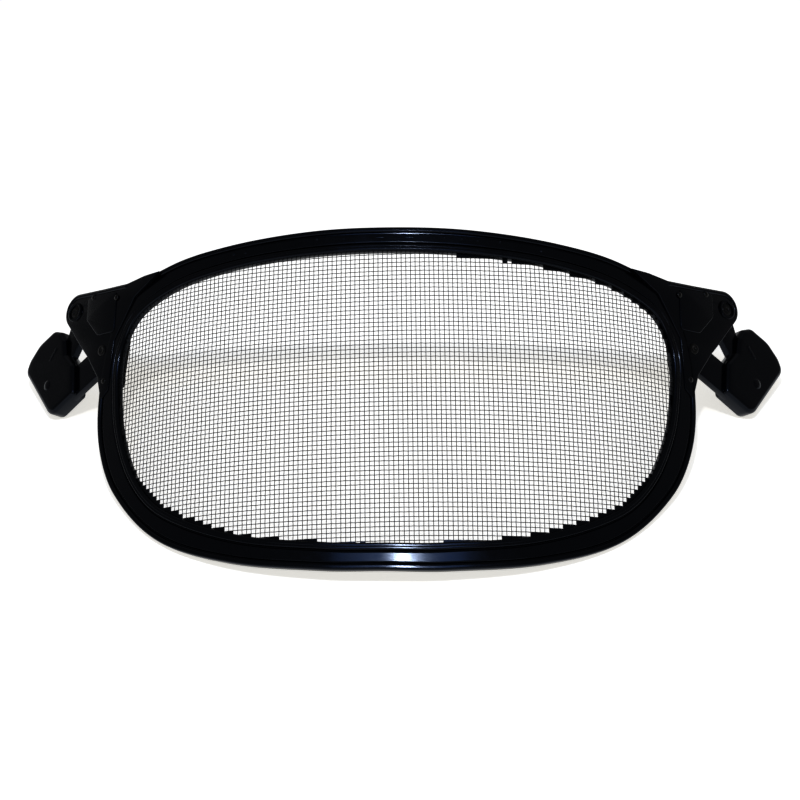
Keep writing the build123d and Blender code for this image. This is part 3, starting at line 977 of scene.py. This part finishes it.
@dataclass
class Clip:
    """One swivelling clip: a thin plate with a window, and a thick crowned pad."""

    pivot: Pair = (167.0, 65.5)
    boss_radius: float = 7.0
    plate_front: float = -2.4
    plate_back: float = -5.9
    plate: list[tuple[float, float, float]] = field(default_factory=lambda: [
        (151.5, 54.5, 3), (147.2, 45.6, 1), (146.4, 41.8, 0.5), (143.8, 37.0, 1), (147.5, 33.2, 2),
        (155.6, 30.2, 4), (180, 19.5, 2), (190, 40, 3), (178.0, 55.2, 1)])
    window: list[tuple[float, float, float]] = field(default_factory=lambda: [
        (172.5, 45.6, 0.8), (168.0, 40.4, 0.8), (161.3, 43.3, 0.8), (154.5, 47.0, 1.2),
        (160.8, 59.0, 1.0), (164.0, 58.0, 1.0)])
    pad: list[tuple[float, float, float]] = field(default_factory=lambda: [
        (180.0, 59.6, 2.5), (185.6, 61.6, 4.0), (196.4, 57.0, 12.0), (203.2, 50.2, 10.0),
        (205.9, 44.2, 6.0), (183.9, 17.4, 5.5), (166.8, 25.4, 2.0), (168.3, 40.2, 1.5),
        (174.8, 46.8, 1.0), (176.2, 54.6, 1.0)])
    pad_front: float = 0.5
    pad_back: float = -8.0
    pad_edge: float = 2.4
    pad_dome: float = 0.06
    socket_centre: Pair = (186.5, 39.5)
    socket_turn: float = 46.0
    socket_half: Pair = (9.0, 3.5)
    socket_depth: float = 6.0
    rib_ends: tuple[Pair, Pair] = ((181.6, 51.4), (186.2, 45.8))
    button_centre: Pair = (186.6, 33.6)

    def plate_loop(self) -> np.ndarray:
        """Outline of the plate, round the pivot and out under the pad."""
        angles = np.radians(np.linspace(10, 205, 30))
        boss = np.stack([self.pivot[0] + self.boss_radius * np.cos(angles),
                         self.pivot[1] + self.boss_radius * np.sin(angles)], axis=1)
        corners = [(*boss[-1], 0.0), *self.plate, (*boss[0], 0.0)]
        return np.vstack([boss, rounded(corners)[1:-1]])

    def build(self) -> bpy.types.Object:
        """The right clip as one mesh."""
        plate = slab("clip_plate", [self.plate_loop(), rounded(self.window), circle(self.pivot, 2.05, 28)],
                     self.plate_front, self.plate_back, 0.35)
        pad = pillow("clip_pad", rounded(self.pad, 10), self.pad_front, self.pad_back, self.pad_edge,
                     self.pad_dome)
        return joined("right_clip_shell", [plate, hollowed(pad, self.socket()), self.rib(), self.button()])

    def rib(self) -> bpy.types.Object:
        """Short moulded rib across the pad's upper corner."""
        start, end = np.array(self.rib_ends)
        run = (end - start) / np.linalg.norm(end - start)
        side = np.array((-run[1], run[0])) * 0.5
        corners = [(*(start + side), 0.4), (*(end + side), 0.4), (*(end - side), 0.4), (*(start - side), 0.4)]
        return slab("pad_rib", [rounded(corners)], self.pad_front + 0.35, self.pad_front - 0.6, 0.3)

    def button(self) -> bpy.types.Object:
        """Low domed button in the middle of the pad."""
        profile = [(0.0, 0.45), (0.8, 0.43), (1.5, 0.34), (2.1, 0.18), (2.5, -0.05), (2.6, -0.5), (0.0, -0.5)]
        return turned("pad_button", self.button_centre,
                      [(radius, self.pad_front + out) for radius, out in profile])

    def socket(self) -> bpy.types.Object:
        """Block that cuts the socket in the back of the pad."""
        turn = math.radians(self.socket_turn)
        half_length, half_width = self.socket_half
        corners = []
        for x, y in ((1, 1), (1, -1), (-1, -1), (-1, 1)):
            along, across = x * half_length, y * half_width
            corners.append((self.socket_centre[0] + along * math.cos(turn) - across * math.sin(turn),
                            self.socket_centre[1] + along * math.sin(turn) + across * math.cos(turn), 0.5))
        return slab("socket_block", [rounded(corners)], self.pad_back + self.socket_depth,
                    self.pad_back - 2, 0.4)


@dataclass
class Hardware:
    """Pins, pegs and rivets of one side, with crowned heads."""

    ear: Ear

    def pivot_pin(self) -> bpy.types.Object:
        """Headed pin in the boss."""
        return turned("right_pin", self.ear.pivot, [
            (0.0, 2.35), (0.9, 2.35), (1.1, 2.55), (2.0, 2.6), (2.5, 2.5), (2.85, 2.1), (2.9, 1.4),
            (2.0, 1.4), (2.0, -8.6), (1.7, -9.0), (0.0, -9.0)])

    def stop_peg(self) -> bpy.types.Object:
        """Peg with a low head next to the rim."""
        return turned("right_peg", self.ear.stop, [
            (0.0, 2.55), (0.8, 2.55), (1.0, 2.8), (1.7, 3.0), (2.3, 2.8), (2.6, 2.3), (2.6, 2.0),
            (1.9, 2.0), (1.9, -7.2), (1.7, -7.4), (0.0, -7.4)])

    def rivet_set(self) -> bpy.types.Object:
        """Three small rivets through the keeper plate."""
        rivets = []
        for number, spot in enumerate(self.ear.rivets):
            seat = 2.8 if spot[1] > 50 else 2.2
            rivets.append(turned(f"rivet_{number}", spot, [
                (0.0, seat + 0.6), (0.5, seat + 0.56), (1.0, seat + 0.4), (1.3, seat + 0.15), (1.4, seat),
                (0.8, seat - 0.02), (0.8, -7.4), (1.4, -7.4), (1.35, -7.65), (1.0, -7.9), (0.5, -8.0),
                (0.0, -8.0)], 20))
        return joined("right_rivet_set", rivets)


# ---------------------------------------------------------------- set and camera


@dataclass(frozen=True)
class Lamp:
    """A soft rectangular light."""

    name: str
    place: tuple[float, float, float]
    aim: tuple[float, float, float]
    size: tuple[float, float]
    power: float
    colour: str = "#ffffff"

    def build(self) -> None:
        """Adds the light to the scene."""
        data = bpy.data.lights.new(self.name, "AREA")
        data.shape, data.size, data.size_y = "RECTANGLE", *self.size
        data.energy, data.color = self.power, linear(self.colour)[:3]
        lamp = bpy.data.objects.new(self.name, data)
        lamp.location = self.place
        lamp.rotation_euler = (Vector(self.aim) - Vector(self.place)).to_track_quat("-Z", "Y").to_euler()
        bpy.context.scene.collection.objects.link(lamp)


@dataclass(frozen=True)
class Viewpoint:
    """Camera square to the front of the screen but a little low, as one looks at it."""

    lens: float = 79.17
    distance: float = 0.7527
    below: float = 19.62
    swing: float = -3.39
    roll: float = 1.05
    aim: Pair = (-0.00514, -0.00092)

    def build(self) -> None:
        """Adds the camera and makes it the scene's."""
        turn = (Matrix.Rotation(math.radians(self.roll), 3, "Y")
                @ Matrix.Rotation(math.radians(-self.below), 3, "X")
                @ Matrix.Rotation(math.radians(self.swing), 3, "Z"))
        place = -(turn.transposed() @ Vector((self.aim[0], self.distance, self.aim[1])))
        axes = Matrix((turn[0], turn[2], -turn[1])).transposed()
        data = bpy.data.cameras.new("camera")
        data.lens, data.sensor_width, data.sensor_fit = self.lens, 36.0, "HORIZONTAL"
        data.clip_start, data.clip_end = 0.05, 30.0
        camera = bpy.data.objects.new("camera", data)
        camera.matrix_world = (Matrix.Translation(BEND.shift) @ BEND.tilt
                               @ Matrix.Translation(place) @ axes.to_4x4())
        bpy.context.scene.collection.objects.link(camera)
        bpy.context.scene.camera = camera


@dataclass
class Studio:
    """White lit table under soft lights, with one small lamp for the glint on the lower rim."""

    floor_half: float = 12.0
    lamps: list[Lamp] = field(default_factory=lambda: [
        Lamp("left bank", (-1.2, 1.4, 1.5), (0, 0, 0), (1.2, 1.2), 0.6),
        Lamp("right bank", (1.2, 1.4, 1.5), (0, 0, 0), (1.2, 1.2), 0.6),
        Lamp("front bank", (0, -2.0, 0.85), (0, 0, 0), (2.6, 0.6), 8, "#f8fcff"),
        Lamp("blue card", (0.0, -0.42, 1.15), (0, -0.03, 0), (0.6, 0.3), 2.4, "#9cc2ff"),
        Lamp("key", (0.012, -0.385, 0.856), (0, -0.06, 0.02), (0.045, 0.03), 2.2),
    ])
    sky: str = "#ffffff"
    sky_strength: float = 0.26
    display_gamma: float = 0.72

    def build(self) -> None:
        """Adds floor, lights and sky."""
        half = self.floor_half
        mesh = bpy.data.meshes.new("floor")
        mesh.from_pydata([(-half, -half, 0), (half, -half, 0), (half, half, 0), (-half, half, 0)], [],
                         [(0, 1, 2, 3)])
        floor = bpy.data.objects.new("floor", mesh)
        bpy.context.scene.collection.objects.link(floor)
        LitFloor().dress(floor)
        for lamp in self.lamps:
            lamp.build()
        # A plain display curve, so that the white table stays white, and a steeper one than
        # usual, so that black nylon stays black.
        bpy.context.scene.view_settings.view_transform = "Standard"
        bpy.context.scene.view_settings.gamma = self.display_gamma
        world = bpy.data.worlds.new("sky")
        world.use_nodes = True
        back = world.node_tree.nodes["Background"]
        back.inputs["Color"].default_value = linear(self.sky)
        back.inputs["Strength"].default_value = self.sky_strength
        bpy.context.scene.world = world


# ---------------------------------------------------------------- assembly


def settle(item: bpy.types.Object, body: str, finish: Finish, slot: str, *nodes: str) -> None:
    """Dresses a piece, makes it ride on a body and hides the CAD nodes it stands for.

    Args:
        item: the finished piece.
        body: body it moves with.
        finish: its finish.
        slot: material slot of the record; not used.
        nodes: CAD nodes it replaces.
    """
    finish.dress(item)
    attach(item, body)
    if nodes:
        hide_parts(*nodes)
    log.info("%s: %d faces on %s", item.name, len(item.data.polygons), body)


def build_rim(rim: Rim) -> None:
    """Rim, pips and both ears."""
    settle(rim.ring(), "visor", NYLON, "black_plastic", "rim_frame")
    settle(rim.moulded_pips(), "visor", NYLON, "black_plastic")
    settle(joined("rim_dashes", rim.moulded_dashes()), "visor", NYLON, "black_plastic")
    ear = Ear().build()
    settle(mirrored(ear, "left_ear"), "visor", NYLON, "black_plastic")
    settle(ear, "visor", NYLON, "black_plastic")


def build_screen(rim: Rim) -> None:
    """Wires and the web at their edge."""
    screen = Screen(rim)
    settle(screen.wires("screen_warp", True), "visor", WIRE, "dark_wire", "mesh_warp_wires")
    settle(screen.wires("screen_weft", False), "visor", WIRE, "dark_wire", "mesh_weft_wires")
    settle(screen.web(), "visor", NYLON, "black_plastic")


def build_sides() -> None:
    """Clips and hardware of both sides."""
    hardware = Hardware(Ear())
    clip = Clip().build()
    settle(mirrored(clip, "left_clip_shell"), "left_clip", NYLON, "black_plastic", "left_clip")
    settle(clip, "right_clip", NYLON, "black_plastic", "right_clip")
    for item, node in ((hardware.pivot_pin(), "pivot_pin"), (hardware.stop_peg(), "stop_peg"),
                       (hardware.rivet_set(), "keeper_rivets")):
        twin = mirrored(item, item.name.replace("right", "left"))
        settle(twin, "visor", HARDWARE, "black_steel", "left_" + node)
        settle(item, "visor", HARDWARE, "black_steel", "right_" + node)
    for side in Side:
        for part in ("wave_washer", "flat_washer", "push_nut"):
            ZINC.dress(frame["nodes"][f"{side.label}_{part}"])
        HARDWARE.dress(frame["nodes"][f"{side.label}_keeper_plate"])


def main() -> None:
    """Builds the whole visor on its set."""
    logging.basicConfig(level=logging.INFO, format="%(name)s %(message)s")
    rim = Rim()
    build_rim(rim)
    build_screen(rim)
    build_sides()
    Studio().build()
    Viewpoint().build()


if __name__ == "__main__":
    main()
